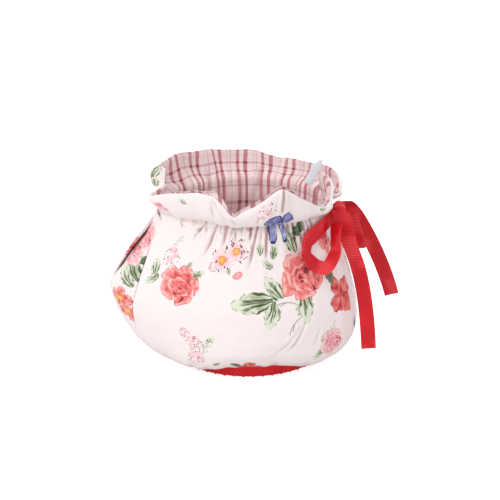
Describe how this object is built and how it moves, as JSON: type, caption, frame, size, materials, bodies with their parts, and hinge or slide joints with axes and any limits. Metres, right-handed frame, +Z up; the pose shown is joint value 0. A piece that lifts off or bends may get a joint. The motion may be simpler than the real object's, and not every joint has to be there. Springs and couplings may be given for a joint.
{
  "type": "tea cosy",
  "caption": "Padded floral cotton tea cosy with a drawstring ruffle, plaid lining, side slits for spout and handle, ribbed red knit base and red ribbon bow.",
  "frame": {"origin": "centre of the bounding box on the table, inside the knit base's opening", "axes": "+Z up, +X towards the handle slit and the bow, -X towards the spout slit, -Y towards the front panel"},
  "size_m": [0.2348, 0.1757, 0.1546],
  "materials": {
    "floral_cotton": "printed pale pink plain-weave cotton over thin wadding, matt",
    "plaid_cotton": "woven pink and red plaid cotton, matt",
    "red_knit": "bright red ribbed knit, matt",
    "red_ribbon": "red grosgrain ribbon with fine crosswise ribs, soft sheen",
    "label_tape": "blank white satin tape"
  },
  "bodies": {
    "root": {"front_panel": "floral_cotton", "back_panel": "floral_cotton", "side_strip_front": "floral_cotton", "side_strip_back": "floral_cotton", "front_lining": "plaid_cotton", "back_lining": "plaid_cotton", "knit_base": "red_knit", "ribbon_neck_end": "red_ribbon", "ribbon_knot": "red_ribbon", "ribbon_front_loop": "red_ribbon", "ribbon_back_loop": "red_ribbon", "ribbon_front_tail": "red_ribbon", "ribbon_back_tail": "red_ribbon", "care_label": "label_tape"}
  },
  "joints": []
}
